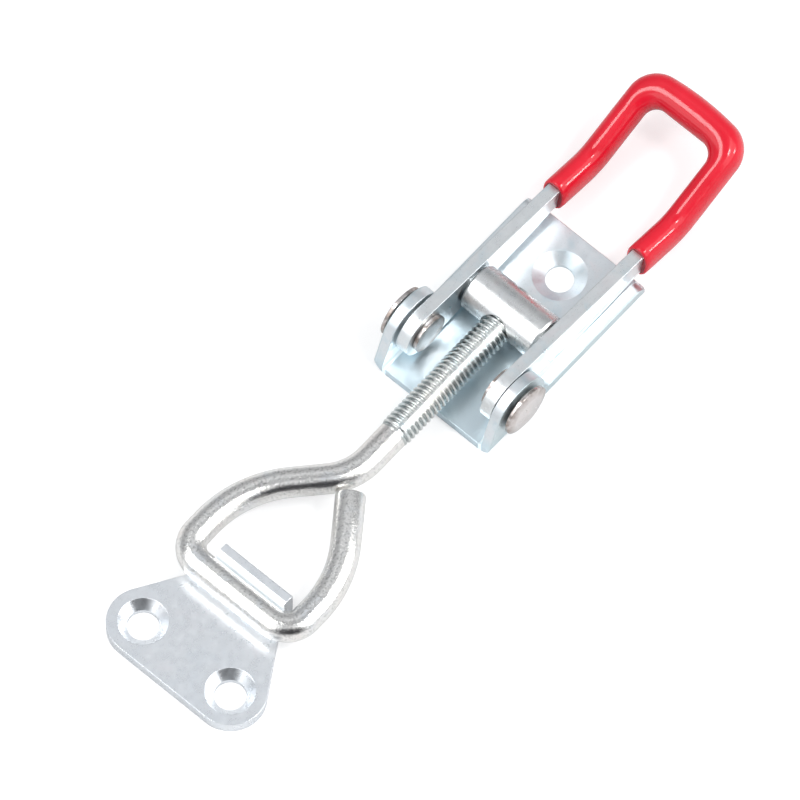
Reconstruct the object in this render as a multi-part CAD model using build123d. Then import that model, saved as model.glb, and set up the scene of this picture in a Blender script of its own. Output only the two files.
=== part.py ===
from build123d import *
import math
import os

# Over centre toggle latch, drawn latched. Millimetres, +Z up off the mounting panel.
# +X runs toward the grip, +Y toward the left arm. The origin is the centre of the
# rear screw hole of the base, on the mounting plane.

# Stock
base_sheet = 2.0
keeper_sheet = 2.5
arm_sheet = 2.4
wire_d = 5.4
thread_d = 6.0
coat = 1.2

# Clearances
seat_gap = 0.3
pin_clearance = 0.05
thread_clearance = 0.06
head_clearance = 0.1
barrel_gap = 0.45
ear_gap = 0.45
tail_gap = 0.25

# Screw holes, countersunk to one depth
sink_depth = 1.6
base_hole_d = 5.1
base_sink_d = 9.7
keeper_hole_d = 5.7
keeper_sink_d = 8.9

# Pivot of the handle in the base ears, and the cross barrel behind it
pivot_x = -25.3
pivot_z = 7.6
barrel_x = -12.8
barrel_z = 7.2

# Handle lever: the pair of arms
arm_inner = 8.4
arm_front_radius = 5.2
arm_rear_x = 2.8
arm_rear_top = 9.7
arm_rear_bottom = 4.0
arm_blend = 12.0

# Handle lever: the narrower strip and its loop
strip_height = 4.7
strip_start_x = 8.0
strip_fall = 10.0
kink_x = 18.9
kink_z = 4.9
kink_radius = 9.0
leg_start = 4.0
leg_rise = 21.5
loop_end_x = 34.93
loop_corner = 5.2

# Grip
grip_start_x = 9.1
grip_bevel = 1.35
grip_inner_coat = 1.45
grip_end_coat = 1.0
grip_bulge = 1.3
grip_outer_corner = 5.8

# Cross barrel
barrel_d = 8.9
barrel_pin_d = 5.0
barrel_edge = 0.4

# Base bracket
base_rear = 7.9
base_reach = 8.2
bend_radius = 0.8
ear_radius = 6.1
ear_front_foot = 2.4
ear_foot_radius = 1.5
wall_top = 4.6
wall_rear = 7.4
wall_corner = 2.2
floor_corner = 1.2

# Rivets
rivet_d = 6.0
rivet_neck_d = 7.6
rivet_head_d = 10.0
rivet_under = 0.7
rivet_rim = 0.6
rivet_dome = 0.7
rivet_dome_steps = 2
rivet_inner_d = 7.5
rivet_inner_h = 0.8

# Hook bolt, drawn flat with its shank on the X axis, then tipped to reach the keeper
bar_x = -83.7
hook_half = 12.45
hook_offset = 0.8
neck_x = -53.9
neck_radius = 11.0
left_shoulder_x = -68.1
right_shoulder_x = -70.1
shoulder_radius = 22.0
hook_corner = 4.3
tail_slope = 36.0
thread_start = -43.6
rod_end_inset = 0.6
thread_chamfer = 0.35

# Keeper plate
keeper_hole_x = -97.1
keeper_hole_pitch = 20.0
keeper_corner = 6.4
lip_half = 7.6
lip_top = 7.4
lip_bend = 0.5
lip_front_edge = 1.0
lip_back_edge = 0.3

# Derived
wire_r = wire_d / 2
arm_outer = arm_inner + arm_sheet
arm_mid = arm_inner + arm_sheet / 2
ear_inner = arm_outer + ear_gap
base_half = ear_inner + base_sheet
base_front = pivot_x - base_reach
ear_top = pivot_z + ear_radius
ear_rear = pivot_x + ear_radius
bar_z = keeper_sheet + seat_gap + wire_r
lip_inner = bar_x + wire_r + seat_gap
hook_tilt = math.degrees(math.atan2(barrel_z - bar_z, barrel_x - bar_x))
grip_height = strip_height + 2 * coat
grip_width = arm_sheet + 2 * coat
leg_reach = (loop_end_x - kink_x) / math.cos(math.radians(leg_rise))


def slab(sketch, low, high):
    """Solid from a sketch drawn in X and Z, filling Y from low to high."""
    return Pos(0, low, 0) * extrude(Plane.XZ * sketch, amount=low - high)


def outline(*points):
    return make_face(Polyline(*points, close=True))


def block(x_low, x_high, z_low, z_high):
    return outline((x_low, z_low), (x_high, z_low), (x_high, z_high), (x_low, z_high))


def corner(sketch, x, z):
    """The vertex of a sketch nearest to a point."""
    return min(sketch.vertices(), key=lambda v: math.hypot(v.X - x, v.Y - z))


def section_plane(path):
    """Plane across the start of a path, its X axis along the object's Y."""
    return Plane(origin=path @ 0, x_dir=(0, 1, 0), z_dir=path % 0)


def screw_hole(diameter, sink, sheet):
    """Cutter for a screw hole with a conical seat at the top of a sheet."""
    hole = Cylinder(diameter / 2, 4 * sheet)
    cone = Pos(0, 0, sheet - sink_depth / 2) * Cone(diameter / 2, sink / 2, sink_depth)
    return hole + cone


def channel():
    """Bent U section with rounded corners, its floor on the mounting plane."""
    height = ear_top + base_sheet
    on_floor = (Align.CENTER, Align.MIN)
    outer = Rectangle(2 * base_half, height, align=on_floor)
    outer = fillet(outer.vertices().group_by(Axis.Y)[0], bend_radius + base_sheet)
    inner = Rectangle(2 * ear_inner, height, align=on_floor)
    inner = fillet(inner.vertices().group_by(Axis.Y)[0], bend_radius)
    section = outer - Pos(0, base_sheet) * inner
    across = Plane(origin=(base_front, 0, 0), x_dir=(0, 1, 0), z_dir=(1, 0, 0))
    return extrude(across * section, amount=base_rear - base_front)


def base_side():
    """Side view of the base: floor, low wall and the ear, round about the pivot."""
    nose = Pos(pivot_x, pivot_z) * Circle(ear_radius)
    foot = block(base_front, ear_rear, 0, ear_front_foot)
    ear = make_hull((nose + foot).edges())
    wall = block(pivot_x, wall_rear, 0, wall_top)
    wall = fillet(corner(wall, wall_rear, wall_top), wall_corner)
    side = wall + ear
    side = fillet(corner(side, ear_rear, wall_top), ear_foot_radius)
    return side + block(base_front, base_rear, 0, base_sheet)


def base_bracket():
    body = channel() & slab(base_side(), -base_half, base_half)
    plan = block(base_front, base_rear, -base_half, base_half)
    rear = plan.vertices().group_by(Axis.X)[-1]
    body &= extrude(fillet(rear, floor_corner), amount=ear_top)
    body -= screw_hole(base_hole_d, base_sink_d, base_sheet)
    bore = Rot(90, 0, 0) * Cylinder(rivet_d / 2, 3 * base_half)
    return body - Pos(pivot_x, 0, pivot_z) * bore


def rivet(turn):
    """Shank with a low domed head outside the ear and a flat one inside the arm."""
    seat = arm_inner - head_clearance
    low = seat - rivet_inner_h
    under = base_half + rivet_under
    rim = under + rivet_rim
    edge = rivet_head_d / 2
    turns = [math.radians(90 * i / rivet_dome_steps) for i in range(rivet_dome_steps)]
    dome = [(edge * math.sin(a), rim + rivet_dome * math.cos(a)) for a in turns]
    profile = outline(
        *dome[::-1],
        (0, low),
        (rivet_inner_d / 2, low),
        (rivet_inner_d / 2, seat),
        (rivet_d / 2, seat),
        (rivet_d / 2, base_half),
        (rivet_neck_d / 2, base_half),
        (edge, under),
        (edge, rim),
    )
    return Pos(pivot_x, 0, pivot_z) * Rot(0, 0, turn) * revolve(profile, Axis.Y)


def rise_plane():
    """Plane of the raised loop: X along the legs, origin on the kink."""
    rise = math.radians(leg_rise)
    along = (math.cos(rise), 0, math.sin(rise))
    up = (-math.sin(rise), 0, math.cos(rise))
    return Plane(origin=(kink_x, 0, kink_z), x_dir=along, z_dir=up)


def strip_z(x):
    """Height of the strip's centre line where it falls toward the kink."""
    return kink_z + (kink_x - x) * math.tan(math.radians(strip_fall))


def kink_path(x_start):
    """Centre line of the strip in X and Z: falling, bent at the kink, rising."""
    rise = math.radians(leg_rise)
    leg_end = (kink_x + leg_start * math.cos(rise), kink_z + leg_start * math.sin(rise))
    points = [(x_start, strip_z(x_start)), (kink_x, kink_z), leg_end]
    return FilletPolyline(*points, radius=kink_radius)


def loop_path():
    """Centre line of the loop in its own plane, open toward the kink."""
    points = [
        (leg_start, -arm_mid),
        (leg_reach, -arm_mid),
        (leg_reach, arm_mid),
        (leg_start, arm_mid),
    ]
    return FilletPolyline(*points, radius=loop_corner)


def arm_side():
    """Side view of one arm: round at the pivot, tapering down into the strip."""
    neck = strip_z(strip_start_x)
    across = strip_height / 2 * math.cos(math.radians(strip_fall))
    along = strip_height / 2 * math.sin(math.radians(strip_fall))
    arm = outline(
        (pivot_x, pivot_z + arm_front_radius),
        (arm_rear_x, arm_rear_top),
        (strip_start_x + along, neck + across),
        (strip_start_x - along, neck - across),
        (arm_rear_x, arm_rear_bottom),
        (pivot_x, pivot_z - arm_front_radius),
    )
    arm = fillet(corner(arm, arm_rear_x, arm_rear_top), arm_blend)
    arm = fillet(corner(arm, arm_rear_x, arm_rear_bottom), arm_blend)
    arm += Pos(pivot_x, pivot_z) * Circle(arm_front_radius)
    arm -= Pos(pivot_x, pivot_z) * Circle(rivet_d / 2 + pin_clearance)
    return arm - Pos(barrel_x, barrel_z) * Circle(barrel_pin_d / 2 + pin_clearance)


def handle_lever():
    """One strip on edge: two blanked arms, kinked legs and a loop bent across."""
    side = arm_side() + trace(kink_path(strip_start_x), strip_height)
    body = slab(side, arm_inner, arm_outer) + slab(side, -arm_outer, -arm_inner)
    path = rise_plane() * loop_path()
    return body + sweep(section_plane(path) * Rectangle(arm_sheet, strip_height), path)


def grip_end():
    """Sleeve over the loop, thicker along its end bar, with every edge bevelled."""
    out = arm_mid + grip_width / 2
    far = leg_reach + arm_sheet / 2 + grip_end_coat
    crown = ThreePointArc((far, -out), (far + grip_bulge, 0), (far, out))
    sides = Polyline((far, out), (leg_start, out), (leg_start, -out), (far, -out))
    outer = make_face(crown + sides)
    outer = fillet(outer.vertices().group_by(Axis.X)[-1], grip_outer_corner)
    inside = arm_mid - grip_width / 2
    near = leg_reach - arm_sheet / 2 - grip_inner_coat
    inner = block(leg_start, near, -inside, inside)
    inner_corner = loop_corner - grip_width / 2
    inner = fillet(inner.vertices().group_by(Axis.X)[-1], inner_corner)
    body = extrude(outer - inner, amount=grip_height / 2, both=True)
    level = body.edges().filter_by(lambda e: abs(abs(e.center().Z) - grip_height / 2) < 0.01)
    rims = level.filter_by(lambda e: e.center().X > leg_start + 0.01)
    return rise_plane() * chamfer(rims, grip_bevel)


def handle_grip(lever):
    """Dipped vinyl sleeve on the strip and its loop, hollow by the lever itself."""
    section = Rectangle(grip_width, grip_height)
    section = chamfer(section.vertices(), grip_bevel)
    body = grip_end()
    for y in (arm_mid, -arm_mid):
        path = Pos(0, y, 0) * (Plane.XZ * kink_path(grip_start_x))
        leg = sweep(section_plane(path) * section, path)
        body += leg
    return body - lever


def cross_barrel():
    """Round bar with a turned pin at each end and the hook's threaded hole across."""
    body = Cylinder(barrel_d / 2, 2 * (arm_inner - barrel_gap))
    body = chamfer(body.edges().filter_by(GeomType.CIRCLE), barrel_edge)
    body += Cylinder(barrel_pin_d / 2, 2 * arm_outer)
    bore_r = thread_d / 2 + thread_clearance
    hole = Rot(0, 90, 0) * Cylinder(bore_r, 2 * barrel_d)
    return Pos(barrel_x, 0, barrel_z) * (Rot(90, 0, 0) * body - Rot(0, -hook_tilt, 0) * hole)


def tail_end(foot, neck, lean):
    """Where the right leg is cut off, just short of the left leg it leans to."""
    slope = math.radians(tail_slope)
    away = abs((foot[0] - neck) * math.sin(lean) + foot[1] * math.cos(lean))
    reach = wire_r * (1 + abs(math.cos(lean + slope))) + tail_gap
    run = (away - reach) / math.sin(lean + slope)
    return (foot[0] + run * math.cos(slope), foot[1] + run * math.sin(slope))


def hook_bolt():
    """Threaded rod whose wire end is bent into a closed loop behind the keeper."""
    left = hook_offset + hook_half
    right = hook_offset - hook_half
    start = thread_start - barrel_x
    neck = neck_x - barrel_x
    shoulder = left_shoulder_x - barrel_x
    bar = bar_x - barrel_x
    foot = (right_shoulder_x - barrel_x, right)
    lean = math.atan2(left, neck - shoulder)
    points = [
        (start, 0),
        (neck, 0),
        (shoulder, left),
        (bar, left),
        (bar, right),
        foot,
        tail_end(foot, neck, lean),
    ]
    radii = [neck_radius, shoulder_radius, hook_corner, hook_corner, shoulder_radius]
    path = FilletPolyline(*points, radius=radii)
    wire = sweep(Plane(origin=path @ 0, z_dir=path % 0) * Circle(wire_r), path)
    length = barrel_d / 2 - rod_end_inset - start
    rod = Pos(start + length / 2, 0, 0) * Rot(0, 90, 0) * Cylinder(thread_d / 2, length)
    rod = chamfer(rod.edges().filter_by(GeomType.CIRCLE), thread_chamfer)
    return Pos(barrel_x, 0, barrel_z) * Rot(0, -hook_tilt, 0) * (wire + rod)


def keeper_lip():
    """Upright lip, bent up out of the plate on a tight radius."""
    fold = lip_inner - lip_bend
    back = lip_inner + keeper_sheet
    bent = fillet(corner(block(fold, back, 0, lip_top), back, 0), lip_bend + keeper_sheet)
    room = block(fold - lip_top, lip_inner, keeper_sheet, 2 * lip_top)
    room = fillet(corner(room, lip_inner, keeper_sheet), lip_bend)
    return slab(bent - room, -lip_half, lip_half)


def keeper_plate():
    y = keeper_hole_pitch / 2
    spots = [(keeper_hole_x, y), (keeper_hole_x, -y)]
    rounds = [Pos(*spot) * Circle(keeper_corner) for spot in spots]
    fold = lip_inner - lip_bend
    tab = block(fold - lip_bend, fold, -lip_half, lip_half)
    flat = extrude(make_hull((rounds[0] + rounds[1] + tab).edges()), amount=keeper_sheet)
    body = flat + keeper_lip()
    back = body.edges().filter_by(Axis.Y).group_by(Axis.Z)[-1].sort_by(Axis.X)[-1]
    body = fillet(back, lip_back_edge)
    front = body.edges().filter_by(Axis.Y).group_by(Axis.Z)[-1].sort_by(Axis.X)[0]
    body = fillet(front, lip_front_edge)
    for spot in spots:
        body -= Pos(*spot) * screw_hole(keeper_hole_d, keeper_sink_d, keeper_sheet)
    return body


os.makedirs("parts", exist_ok=True)
lever = handle_lever()
pieces = {
    "base_bracket": base_bracket(),
    "left_pivot_rivet": rivet(0),
    "right_pivot_rivet": rivet(180),
    "handle_lever": lever,
    "handle_grip": handle_grip(lever),
    "cross_barrel": cross_barrel(),
    "hook_bolt": hook_bolt(),
    "keeper_plate": keeper_plate(),
}
for name, solid in pieces.items():
    export_step(solid, f"parts/{name}.step")
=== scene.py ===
import bpy, bmesh, math
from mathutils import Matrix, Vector


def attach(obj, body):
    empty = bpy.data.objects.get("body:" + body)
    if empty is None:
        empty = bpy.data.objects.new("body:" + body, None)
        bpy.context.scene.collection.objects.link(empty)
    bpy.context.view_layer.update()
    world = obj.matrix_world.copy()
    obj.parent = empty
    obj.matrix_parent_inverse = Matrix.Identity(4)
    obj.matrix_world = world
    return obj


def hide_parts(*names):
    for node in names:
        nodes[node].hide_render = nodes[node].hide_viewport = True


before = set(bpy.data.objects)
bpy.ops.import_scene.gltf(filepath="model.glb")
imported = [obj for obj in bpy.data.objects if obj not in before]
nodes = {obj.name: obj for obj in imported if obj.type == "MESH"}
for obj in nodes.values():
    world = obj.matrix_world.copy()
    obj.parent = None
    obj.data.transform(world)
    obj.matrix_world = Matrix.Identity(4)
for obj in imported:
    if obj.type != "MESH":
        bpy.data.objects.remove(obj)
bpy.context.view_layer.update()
MM = 0.001


# ---- node helpers ----
def fill_ramp(node, stops):
    """Set a colour ramp's stops, each a position and a colour."""
    e = node.color_ramp.elements
    while len(e) < len(stops):
        e.new(0.5)
    for i, (at, colour) in enumerate(stops):
        e[i].position = at
        e[i].color = (*colour, 1)


class Mat:
    """A Principled material with short helpers for its node tree. Coordinates are in millimetres."""

    def __init__(self, name, **sockets):
        self.mat = bpy.data.materials.new(name)
        self.mat.use_nodes = True
        self.tree = self.mat.node_tree
        self.bsdf = self.tree.nodes["Principled BSDF"]
        for key, value in sockets.items():
            self.bsdf.inputs[key.replace("_", " ")].default_value = value
        coords = self.node("ShaderNodeTexCoord")
        self.mm = self.node("ShaderNodeMapping")
        self.mm.inputs["Scale"].default_value = (1000, 1000, 1000)
        self.link(coords.outputs["Object"], self.mm.inputs["Vector"])

    def node(self, kind, **props):
        n = self.tree.nodes.new(kind)
        for key, value in props.items():
            setattr(n, key, value)
        return n

    def link(self, a, b):
        self.tree.links.new(a, b)

    def noise(self, scale, detail=3.0, rough=0.5, warp=0.0):
        n = self.node("ShaderNodeTexNoise")
        n.inputs["Scale"].default_value = scale
        n.inputs["Detail"].default_value = detail
        n.inputs["Roughness"].default_value = rough
        n.inputs["Distortion"].default_value = warp
        self.link(self.mm.outputs["Vector"], n.inputs["Vector"])
        return n.outputs["Fac"]

    def ramp(self, fac, stops):
        r = self.node("ShaderNodeValToRGB")
        fill_ramp(r, stops)
        self.link(fac, r.inputs["Fac"])
        return r.outputs["Color"]

    def map(self, value, a, b, c, d):
        m = self.node("ShaderNodeMapRange")
        for key, x in zip(("From Min", "From Max", "To Min", "To Max"), (a, b, c, d)):
            m.inputs[key].default_value = x
        self.link(value, m.inputs["Value"])
        return m.outputs["Result"]

    def math(self, op, a, b):
        m = self.node("ShaderNodeMath", operation=op)
        for i, x in enumerate((a, b)):
            if isinstance(x, (int, float)):
                m.inputs[i].default_value = x
            else:
                self.link(x, m.inputs[i])
        return m.outputs[0]

    def mix(self, fac, a, b):
        m = self.node("ShaderNodeMix", data_type="RGBA")
        for sock, x in ((m.inputs["Factor"], fac), (m.inputs["A"], a), (m.inputs["B"], b)):
            if isinstance(x, (int, float)):
                sock.default_value = x
            elif isinstance(x, tuple):
                sock.default_value = (*x, 1)
            else:
                self.link(x, sock)
        return m.outputs["Result"]

    def bump(self, height, distance_mm, strength=1.0, normal=None):
        b = self.node("ShaderNodeBump")
        b.inputs["Strength"].default_value = strength
        b.inputs["Distance"].default_value = distance_mm * MM
        self.link(height, b.inputs["Height"])
        if normal is not None:
            self.link(normal, b.inputs["Normal"])
        return b.outputs["Normal"]

    def edge(self, radius_mm):
        """A normal that rounds sharp edges in the shading."""
        b = self.node("ShaderNodeBevel", samples=6)
        b.inputs["Radius"].default_value = radius_mm * MM
        return b.outputs["Normal"]

    def set(self, key, value):
        self.link(value, self.bsdf.inputs[key])

    def inside(self, value, a, b):
        """0 at a and before it, 1 at b and past it."""
        return self.map(value, a, b, 0, 1)

    def length(self, a, b):
        """Distance from the origin of a point whose two coordinates are sockets."""
        point = self.node("ShaderNodeCombineXYZ")
        self.link(a, point.inputs["X"])
        self.link(b, point.inputs["Y"])
        size = self.node("ShaderNodeVectorMath", operation="LENGTH")
        self.link(point.outputs[0], size.inputs[0])
        return size.outputs["Value"]


def zinc(name, base, blue, pink, rough, speck, ripple, edge_mm=0.18, grit=0.006, dots=(0.56, 0.74)):
    """Bright zinc plating: patches of faint blue and pink, fine speckle and a rippled surface.

    speck is how dark the speckles are, dots where in the noise they start and end, and ripple and
    grit are the heights in millimetres of the slow and the fine relief.
    """
    m = Mat(name, Metallic=1.0)
    patch = m.noise(0.16, 4, 0.55, warp=0.6)
    tint = m.ramp(patch, [(0.30, blue), (0.47, base), (0.56, base), (0.72, pink)])
    fine = m.noise(2.6, 5, 0.65)
    dark = tuple(c * (1 - speck) for c in base)
    m.colour = m.mix(m.map(fine, *dots, 0, 0.75), tint, dark)
    m.set("Base Color", m.colour)
    cloud = m.noise(0.7, 4, 0.6)
    m.set("Roughness", m.map(cloud, 0.3, 0.7, rough * 0.75, rough * 1.3))
    wave = m.noise(0.45, 2, 0.5)
    n = m.bump(wave, ripple, 1.0, m.edge(edge_mm))
    m.set("Normal", m.bump(fine, grit, 1.0, n))
    split = m.node("ShaderNodeSeparateXYZ")
    m.link(m.mm.outputs["Vector"], split.inputs[0])
    m.x, m.y, m.z = (split.outputs[k] for k in "XYZ")
    m.side = m.math("ABSOLUTE", m.y, 0)
    return m


def glow(m, mask, colour):
    """Lighten a masked part of the surface with a faint emission."""
    m.set("Emission Color", m.mix(mask, (0.0, 0.0, 0.0), colour))
    m.bsdf.inputs["Emission Strength"].default_value = 1.0


def dress(name, mat):
    """Give a CAD node one material."""
    o = nodes[name]
    o.data.materials.clear()
    o.data.materials.append(mat)


# ---- sizes shared by the materials and the meshes, in millimetres ----
PIVOT_X, PIVOT_Z = -25.3, 7.6
BARREL = Vector((-12.8, 0, 7.2))
BAR = (-83.7, 5.5)
TILT = math.atan2(BARREL.z - BAR[1], BARREL.x - BAR[0])
WIRE_R, CREST_R, ROOT_R, PITCH = 2.7, 3.0, 2.55, 1.0

# ---- materials ----
sheet = zinc("zinc_sheet", (0.81, 0.86, 0.89), (0.68, 0.80, 0.86), (0.84, 0.83, 0.85), 0.38, 0.16, 0.012)
arm = zinc("zinc_arm", (0.87, 0.90, 0.91), (0.77, 0.86, 0.90), (0.89, 0.88, 0.89), 0.34, 0.24, 0.015)
plate = zinc("zinc_keeper", (0.86, 0.89, 0.92), (0.83, 0.87, 0.91), (0.87, 0.88, 0.91), 0.30, 0.16, 0.010,
             edge_mm=0.14)
barrel = zinc("zinc_barrel", (0.78, 0.79, 0.79), (0.74, 0.77, 0.79), (0.80, 0.77, 0.76), 0.29, 0.25, 0.015,
              grit=0.018)
wire = zinc("zinc_wire", (0.92, 0.91, 0.89), (0.88, 0.90, 0.92), (0.93, 0.89, 0.86), 0.15, 0.38, 0.05,
            grit=0.045, dots=(0.51, 0.62))
thread = zinc("zinc_thread", (0.80, 0.82, 0.81), (0.74, 0.81, 0.83), (0.84, 0.83, 0.80), 0.24, 0.20, 0.004)
rivet = zinc("rivet_steel", (0.78, 0.74, 0.73), (0.74, 0.72, 0.71), (0.82, 0.75, 0.72), 0.22, 0.20, 0.010)

# painted shade and reflection: a darker, bluer tone on the channel's front floor, under the barrel and the
# rod, and on the outer faces of its walls
channel_shade_mask = sheet.math("MULTIPLY", sheet.inside(sheet.x, -7, -13), sheet.inside(sheet.z, 5, 3))
wall_shade_mask = sheet.map(sheet.side, 12.9, 13.2, 0, 0.8)
channel_shaded = sheet.mix(channel_shade_mask, sheet.colour, (0.71, 0.83, 0.89))
sheet.set("Base Color", sheet.mix(wall_shade_mask, channel_shaded, (0.66, 0.76, 0.79)))

# painted light: a faint emission lightens the slot between each arm and its wall, and the lip's face behind
# the hook's bar, for the light bounced into them
for m in (sheet, arm):
    slot = m.math("MULTIPLY", m.inside(m.side, 10.6, 10.75), m.inside(m.side, 11.35, 11.3))
    slot = m.math("MULTIPLY", slot, m.inside(m.z, 5.2, 4.4))
    glow(m, slot, (0.42, 0.48, 0.50))
face = plate.math("MULTIPLY", plate.inside(plate.x, -80.3, -80.5), plate.inside(plate.z, 3.2, 4.2))
glow(plate, face, (0.50, 0.54, 0.56))

# the rivet heads darken to brown towards their rims, in patches, by distance from the pivot's axis; the inner
# heads are smaller
from_axis = rivet.length(rivet.math("ADD", rivet.x, -PIVOT_X), rivet.math("ADD", rivet.z, -PIVOT_Z))
radius = rivet.math("ADD", from_axis, rivet.map(rivet.side, 9.5, 9.0, 0, 1.4))
patchy = rivet.map(rivet.noise(0.5, 3, 0.6), 0.35, 0.6, 0.2, 0.95)
rim_darkening = rivet.math("MULTIPLY", rivet.inside(radius, 3.3, 4.9), patchy)
rivet.set("Base Color", rivet.mix(rim_darkening, rivet.colour, (0.30, 0.24, 0.21)))

# painted shade: the thread darkens towards its roots, by distance from the bolt's tilted axis, and most on its
# flanks, away from its lit top
across = thread.math("MULTIPLY", thread.math("ADD", thread.x, -BARREL.x), -math.sin(TILT))
above = thread.math("MULTIPLY", thread.math("ADD", thread.z, -BARREL.z), math.cos(TILT))
from_axis = thread.length(thread.y, thread.math("ADD", across, above))
off_top = thread.math("ABSOLUTE", thread.math("ADD", thread.y, 0.5), 0)
root_shade = thread.math("MULTIPLY", thread.inside(from_axis, 2.90, 2.62), thread.map(off_top, 1.1, 2.3, 0.12, 0.85))
thread.set("Base Color", thread.mix(root_shade, thread.colour, (0.16, 0.21, 0.21)))


def vinyl():
    """Dipped red vinyl: glossy, with a soft waviness where the coat ran."""
    m = Mat("red_vinyl", IOR=1.5)
    m.bsdf.inputs["Specular IOR Level"].default_value = 0.42
    depth = m.noise(0.22, 3, 0.5)
    m.set("Base Color", m.ramp(depth, [(0.3, (0.64, 0.009, 0.024)), (0.7, (0.71, 0.014, 0.033))]))
    skin = m.noise(1.6, 3, 0.5)
    m.set("Roughness", m.map(skin, 0.3, 0.7, 0.10, 0.17))
    n = m.bump(m.noise(0.16, 2, 0.4), 0.22, 0.5)
    m.set("Normal", m.bump(skin, 0.002, 1.0, n))
    return m.mat


grip_mat = vinyl()
# painted shade: a darker copy of the red vinyl for the sleeve's two mouth faces, which face away from the
# light
cut = Mat("red_vinyl_mouth_shade", Roughness=0.5)
mouth_shade_tone = [(0.3, (0.22, 0.004, 0.010)), (0.7, (0.34, 0.006, 0.016))]
cut.set("Base Color", cut.ramp(cut.noise(1.2, 3, 0.5), mouth_shade_tone))
dress("base_bracket", sheet.mat)
dress("left_pivot_rivet", rivet.mat)
dress("right_pivot_rivet", rivet.mat)
dress("handle_lever", arm.mat)
dress("cross_barrel", barrel.mat)
dress("keeper_plate", plate.mat)

# ---- the hook bolt: smooth wire and its rolled M6 thread ----
HALF, OFFSET = 12.45, 0.8
THREAD_START, NECK_X, NECK_R = -43.6, -53.9, 11
LEFT_SHOULDER_X, RIGHT_SHOULDER_X, SHOULDER_R, LOOP_R = -68.1, -70.1, 22, 4.3
TAIL_SLOPE, TAIL_GAP = math.radians(36), 0.25
ROD_END = 8.9 / 2 - 0.6
RUN_OUT, LEAD_OUT = 1.2, 0.9


def fillet_path(points, radii, step=3.0):
    """Points of a polyline in the XY plane with its corners rounded, step degrees apart."""
    out = [Vector(points[0])]
    for a, b, c, r in zip(points, points[1:], points[2:], radii):
        a, b, c = Vector(a), Vector(b), Vector(c)
        u, v = (a - b).normalized(), (c - b).normalized()
        half = u.angle(v) / 2
        start = b + u * (r / math.tan(half))
        centre = b + (u + v).normalized() * (r / math.sin(half))
        turn = math.pi - 2 * half
        sign = 1 if (b - a).cross(c - b) > 0 else -1
        count = max(2, round(math.degrees(turn) / step))
        arm = start - centre
        for i in range(count + 1):
            t = sign * turn * i / count
            out.append(centre + Vector((arm.x * math.cos(t) - arm.y * math.sin(t),
                                        arm.x * math.sin(t) + arm.y * math.cos(t))))
    out.append(Vector(points[-1]))
    return out


def wire_route():
    """The wire's centre line, flat, from the end of the thread round the loop to its cut end.

    The end stops TAIL_GAP short of the neck.
    """
    left, right = OFFSET + HALF, OFFSET - HALF
    neck, shoulder = NECK_X - BARREL.x, LEFT_SHOULDER_X - BARREL.x
    foot = Vector((RIGHT_SHOULDER_X - BARREL.x, right))
    bar = BAR[0] - BARREL.x
    lean = math.atan2(left, neck - shoulder)
    away = abs((foot.x - neck) * math.sin(lean) + foot.y * math.cos(lean))
    run = (away - WIRE_R * (1 + abs(math.cos(lean + TAIL_SLOPE))) - TAIL_GAP) / math.sin(lean + TAIL_SLOPE)
    tail = foot + run * Vector((math.cos(TAIL_SLOPE), math.sin(TAIL_SLOPE)))
    points = [(THREAD_START - BARREL.x, 0), (neck, 0), (shoulder, left), (bar, left), (bar, right), foot, tail]
    return fillet_path(points, (NECK_R, SHOULDER_R, LOOP_R, LOOP_R, SHOULDER_R))


def sweep_rings(bm, rings):
    """Quads between rings of equal length, closed round each ring, with one face at each end."""
    made = [[bm.verts.new(p) for p in ring] for ring in rings]
    n = len(made[0])
    for a, b in zip(made, made[1:]):
        for i in range(n):
            bm.faces.new((a[i], a[(i + 1) % n], b[(i + 1) % n], b[i]))
    for ring, order in ((made[0], -1), (made[-1], 1)):
        bm.faces.new(ring[::order])


def wire_rings(path, sides=56, edge=0.35):
    """Round sections across a flat path, with the last end's rim rounded over."""
    tangents = []
    for i in range(len(path)):
        a, b = path[max(i - 1, 0)], path[min(i + 1, len(path) - 1)]
        tangents.append((b - a).normalized())
    stations = [(p, t, WIRE_R) for p, t in zip(path, tangents)]
    end, t = path[-1], tangents[-1]
    stations[-1] = (end - t * edge, t, WIRE_R)
    for k in (30, 60, 90):
        q = math.radians(k)
        stations.append((end - t * edge * (1 - math.sin(q)), t, WIRE_R - edge * (1 - math.cos(q))))
    rings = []
    for p, t, r in stations:
        side = Vector((-t.y, t.x))
        ring = []
        for i in range(sides):
            q = 2 * math.pi * i / sides
            out = r * math.cos(q)
            ring.append(Vector((p.x + side.x * out, p.y + side.y * out, r * math.sin(q))))
        rings.append(ring)
    return rings


def thread_rings(start, end, sides=56, per_turn=10):
    """A rolled thread: rounded crests and roots on a helix, fading out at both ends."""
    count = round((end - start) / PITCH * per_turn)
    rings = []
    for k in range(count + 1):
        x = start + (end - start) * k / count
        fade = min(1, (x - start) / RUN_OUT + 0.02, (end - x) / LEAD_OUT)
        ring = []
        for i in range(sides):
            q = 2 * math.pi * i / sides
            phase = (x / PITCH - i / sides) % 1
            tooth = 0.5 + 0.5 * math.cos(2 * math.pi * phase)
            tooth = min(1, max(0, (tooth - 0.12) / 0.74))
            if x - start < RUN_OUT:
                r = WIRE_R + fade * (ROOT_R + (CREST_R - ROOT_R) * tooth - WIRE_R)
            else:
                r = ROOT_R + (CREST_R - ROOT_R) * tooth * max(fade, 0)
            ring.append(Vector((x, r * math.cos(q), r * math.sin(q))))
        rings.append(ring)
    return rings


def tip(v):
    """From the bolt's own flat drawing, in millimetres, to the row frame in metres."""
    c, s = math.cos(TILT), math.sin(TILT)
    return Vector((BARREL.x + v.x * c - v.z * s, v.y, BARREL.z + v.x * s + v.z * c)) * MM


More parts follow.
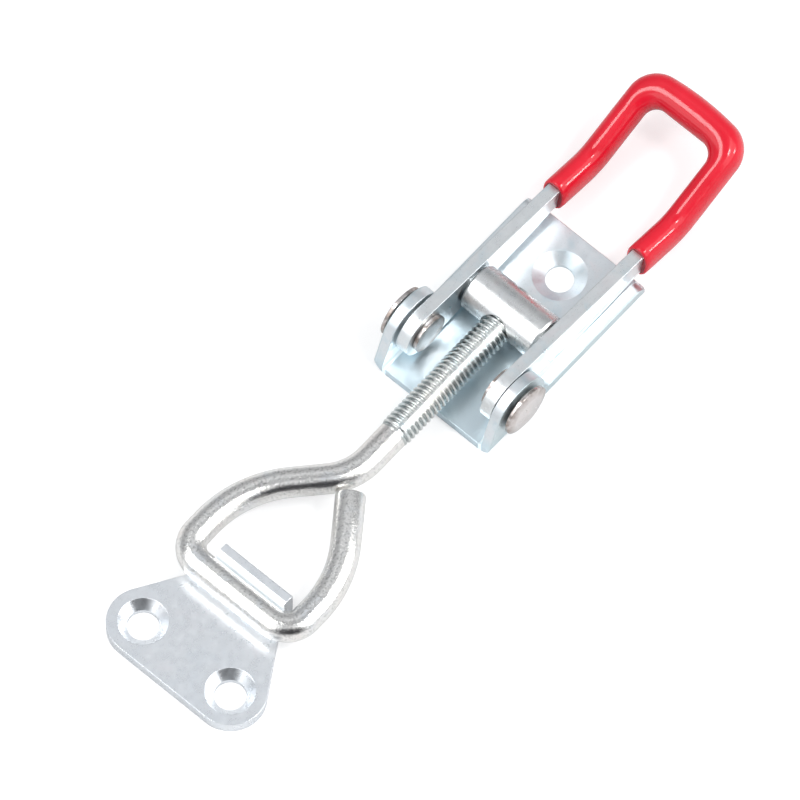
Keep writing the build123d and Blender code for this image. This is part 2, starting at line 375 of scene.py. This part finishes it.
def mesh_object(name, bm, mat, sharp=40):
    """A smooth-shaded object from a bmesh, with edges over sharp degrees kept hard."""
    bmesh.ops.recalc_face_normals(bm, faces=bm.faces)
    me = bpy.data.meshes.new(name)
    bm.to_mesh(me)
    bm.free()
    me.shade_smooth()
    me.set_sharp_from_angle(angle=math.radians(sharp))
    o = bpy.data.objects.new(name, me)
    bpy.context.scene.collection.objects.link(o)
    me.materials.append(mat)
    return o


bm = bmesh.new()
sweep_rings(bm, wire_rings(wire_route()))
plain = len(bm.faces)
sweep_rings(bm, thread_rings(THREAD_START - BARREL.x - 0.05, ROD_END))
bm.faces.ensure_lookup_table()
for f in bm.faces[plain:]:
    f.material_index = 1
for v in bm.verts:
    v.co = tip(v.co)
hook = mesh_object("threaded_hook_bolt", bm, wire.mat)
hook.data.materials.append(thread.mat)
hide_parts("hook_bolt")
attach(hook, "hook")

# ---- the grip: the dipped sleeve with its round section ----
KINK, COAT_HALF = Vector((18.9, 4.9)), 3.55
RISE, FALL = math.radians(21.5), math.radians(10)
OUT, INSIDE, FAR, NEAR = 12.0, 7.2, 19.429, 14.579
CROWN_R, OUTER_R, INNER_R = 56.03, 5.8, 2.8
MOUTH_X, KINK_R, LEG, BULGE, ROUNDNESS = 9.1, 9.0, 7.0, 1.3, 0.88


def leg_stations():
    """Outer point, inner point and up vector along one leg, from the mouth to the corner."""
    start = Vector((MOUTH_X, KINK.y + (KINK.x - MOUTH_X) * math.tan(FALL)))
    end = KINK + LEG * Vector((math.cos(RISE), math.sin(RISE)))
    line = fillet_path([start, KINK, end], (KINK_R,), step=2.5)
    route = [line[0] + (line[1] - line[0]) * k / 5 for k in range(5)] + line[1:]
    out = []
    for i, p in enumerate(route):
        a, b = route[max(i - 1, 0)], route[min(i + 1, len(route) - 1)]
        t = (b - a).normalized()
        up = Vector((-t.y, 0, t.x))
        out.append((Vector((p.x, OUT, p.y)), Vector((p.x, INSIDE, p.y)), up))
    return out


def loop_point(u, y):
    """A point in the loop's tilted plane, u from the kink along the leg and y across."""
    return Vector((KINK.x + u * math.cos(RISE), y, KINK.y + u * math.sin(RISE)))


def corner_stations():
    """The same for the last of the leg, the corner and half of the end bar."""
    up = Vector((-math.sin(RISE), 0, math.cos(RISE)))
    crown_u = FAR + BULGE - CROWN_R
    swing = math.asin((OUT - OUTER_R) / (CROWN_R - OUTER_R))
    outer_u = crown_u + (CROWN_R - OUTER_R) * math.cos(swing)
    inner_u = NEAR - INNER_R
    out = []
    for k in range(1, 5):
        f = k / 5
        outer = loop_point(LEG + f * (outer_u - LEG), OUT)
        out.append((outer, loop_point(LEG + f * (inner_u - LEG), INSIDE), up))
    for k in range(21):
        q = math.pi / 2 * (1 - k / 20)
        p = swing + (math.pi / 2 - swing) * (1 - k / 20)
        outer = loop_point(outer_u + OUTER_R * math.cos(p), OUT - OUTER_R + OUTER_R * math.sin(p))
        inner = loop_point(inner_u + INNER_R * math.cos(q), INSIDE - INNER_R + INNER_R * math.sin(q))
        out.append((outer, inner, up))
    for k in range(1, 9):
        p = swing * (1 - k / 8)
        outer = loop_point(crown_u + CROWN_R * math.cos(p), CROWN_R * math.sin(p))
        out.append((outer, loop_point(NEAR, (INSIDE - INNER_R) * (1 - k / 8)), up))
    return out


def sleeve_ring(station, shrink=0.0, slide=0.0, sides=48):
    """One rounded section; shrink draws it in and slide moves it along the leg, in millimetres."""
    outer, inner, up = station
    side = (outer - inner).normalized()
    centre = (outer + inner) / 2 + side.cross(up) * slide
    a, b = (outer - inner).length / 2 - shrink, COAT_HALF - shrink
    ring = []
    for i in range(sides):
        q = 2 * math.pi * i / sides
        c, w = math.cos(q), math.sin(q)
        outward = math.copysign(a * abs(c) ** ROUNDNESS, c)
        upward = math.copysign(b * abs(w) ** ROUNDNESS, w)
        ring.append(centre + side * outward + up * upward)
    return ring


def sleeve_rings():
    """All sections from one mouth to the other, with each mouth's rim drawn in."""
    half = leg_stations() + corner_stations()
    mouth = half[0]
    across = (mouth[0] - mouth[1]).normalized().cross(mouth[2])
    back = 1 if across.x > 0 else -1
    rim = ((0.45, 0.0), (0.2, 0.06), (0.05, 0.25))
    lead = [sleeve_ring(mouth, shrink, back * slide) for shrink, slide in rim]
    left = lead + [sleeve_ring(st) for st in half[1:]]
    right = [[Vector((p.x, -p.y, p.z)) for p in ring] for ring in left]
    return left + right[-2::-1]


bm = bmesh.new()
sweep_rings(bm, [[p * MM for p in ring] for ring in sleeve_rings()])
# each mouth's end face takes the darker copy of the vinyl, as painted shade
for f in bm.faces:
    f.material_index = 1 if len(f.verts) > 4 else 0
grip = mesh_object("round_grip", bm, grip_mat, sharp=60)
grip.data.materials.append(cut.mat)
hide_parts("handle_grip")
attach(grip, "handle")

# ---- studio ----
scene = bpy.context.scene
scene.view_settings.view_transform = "Standard"

world = bpy.data.worlds.new("studio")
scene.world = world
world.use_nodes = True
wt = world.node_tree
coord = wt.nodes.new("ShaderNodeTexCoord")
split = wt.nodes.new("ShaderNodeSeparateXYZ")
sky = wt.nodes.new("ShaderNodeValToRGB")
wt.links.new(coord.outputs["Generated"], split.inputs[0])
wt.links.new(split.outputs["Z"], sky.inputs["Fac"])
stops = [(0.0, 0.80), (0.18, 0.62), (0.42, 0.44), (0.70, 0.57), (0.89, 0.90), (0.94, 0.78), (1.0, 0.42)]
fill_ramp(sky, [(at, (v * 0.97, v * 0.99, v * 1.02)) for at, v in stops])
# a dark patch, low and towards -X and -Y, for the dark bands on the wire
dark = wt.nodes.new("ShaderNodeVectorMath")
dark.operation = "DOT_PRODUCT"
wt.links.new(coord.outputs["Generated"], dark.inputs[0])
dark.inputs[1].default_value = Vector((-0.60, -0.72, 0.35)).normalized()
patch = wt.nodes.new("ShaderNodeMapRange")
patch.interpolation_type = "SMOOTHSTEP"
for key, value in (("From Min", 0.80), ("From Max", 0.94), ("To Min", 0.0), ("To Max", 0.96)):
    patch.inputs[key].default_value = value
wt.links.new(dark.outputs["Value"], patch.inputs["Value"])
shade = wt.nodes.new("ShaderNodeMix")
shade.data_type = "RGBA"
wt.links.new(patch.outputs["Result"], shade.inputs["Factor"])
wt.links.new(sky.outputs["Color"], shade.inputs["A"])
shade.inputs["B"].default_value = (0.05, 0.05, 0.055, 1)
wt.links.new(shade.outputs["Result"], wt.nodes["Background"].inputs["Color"])
wt.nodes["Background"].inputs["Strength"].default_value = 0.86

# the floor is lifted for the camera alone, so that it reads white and keeps its shadows
floor_mat = Mat("floor_white", Roughness=0.9)
floor_mat.bsdf.inputs["Specular IOR Level"].default_value = 0.0
tone = floor_mat.noise(0.004, 2, 0.5)
floor_mat.set("Base Color", floor_mat.ramp(tone, [(0.3, (0.65, 0.65, 0.65)), (0.7, (0.67, 0.67, 0.67))]))
path = floor_mat.node("ShaderNodeLightPath")
lift = floor_mat.node("ShaderNodeEmission")
lift.inputs["Color"].default_value = (1, 1, 1, 1)
seen = floor_mat.math("MULTIPLY", path.outputs["Is Camera Ray"], 0.46)
mirrored = floor_mat.math("MULTIPLY", path.outputs["Is Glossy Ray"], 0.06)
floor_mat.link(floor_mat.math("ADD", seen, mirrored), lift.inputs["Strength"])
total = floor_mat.node("ShaderNodeAddShader")
floor_mat.link(floor_mat.bsdf.outputs[0], total.inputs[0])
floor_mat.link(lift.outputs[0], total.inputs[1])
floor_mat.link(total.outputs[0], floor_mat.tree.nodes["Material Output"].inputs["Surface"])

bm = bmesh.new()
bmesh.ops.create_circle(bm, cap_ends=True, segments=96, radius=3.0)
for v in bm.verts:
    v.co.z = -0.00005
floor = mesh_object("floor", bm, floor_mat.mat)


def softbox(name, direction, distance, size, radiance, aim=(-0.033, 0, 0.005)):
    """A rectangular lamp that lies in a direction from the point that it faces, in metres."""
    light = bpy.data.lights.new(name, "AREA")
    light.shape = "RECTANGLE"
    light.size, light.size_y = size
    light.energy = radiance * math.pi * size[0] * size[1]
    o = bpy.data.objects.new(name, light)
    bpy.context.scene.collection.objects.link(o)
    back = Vector(direction).normalized()
    o.location = Vector(aim) + back * distance
    o.rotation_mode = "QUATERNION"
    o.rotation_quaternion = back.to_track_quat("Z", "Y")


softbox("box_front", (-0.75, 0.285, 0.58), 0.7, (0.55, 0.46), 1.6)
softbox("box_side", (0.32, -0.70, 0.60), 0.7, (0.75, 0.68), 1.65)
softbox("box_key", (-0.381, 0.285, 0.880), 0.9, (0.24, 0.24), 9.0, aim=(0.027, 0, 0.010))
softbox("box_spot", (0.13, -0.49, 0.86), 0.9, (0.17, 0.17), 22.0, aim=(0.018, 0, 0.008))
softbox("box_low", (0.537, -0.77, 0.345), 0.9, (0.14, 0.14), 18.0, aim=(0.014, 0, 0.008))

# ---- camera: the photograph's direction, a long lens, no shift ----
FORWARD = Vector((0.323, 0.2847, -0.9026)).normalized()
RIGHT = FORWARD.cross(Vector((0, 0, 1))).normalized()
UP = RIGHT.cross(FORWARD)
PX = 5800.0
SENSOR_MM, PICTURE_PX = 36, 800
aim = Vector((0, 0, 0.001)) - RIGHT * (160.1 / PX) - UP * (122.5 / PX)
DIST, MID_DEPTH = 4.6, -0.011
cam_data = bpy.data.cameras.new("camera")
cam_data.sensor_width = SENSOR_MM
cam_data.lens = SENSOR_MM * (DIST + MID_DEPTH) / (PICTURE_PX / PX)
cam_data.clip_start, cam_data.clip_end = 0.5, 20
cam = bpy.data.objects.new("camera", cam_data)
scene.collection.objects.link(cam)
cam.location = aim - FORWARD * DIST
cam.rotation_mode = "QUATERNION"
cam.rotation_quaternion = (-FORWARD).to_track_quat("Z", "Y")
scene.camera = cam
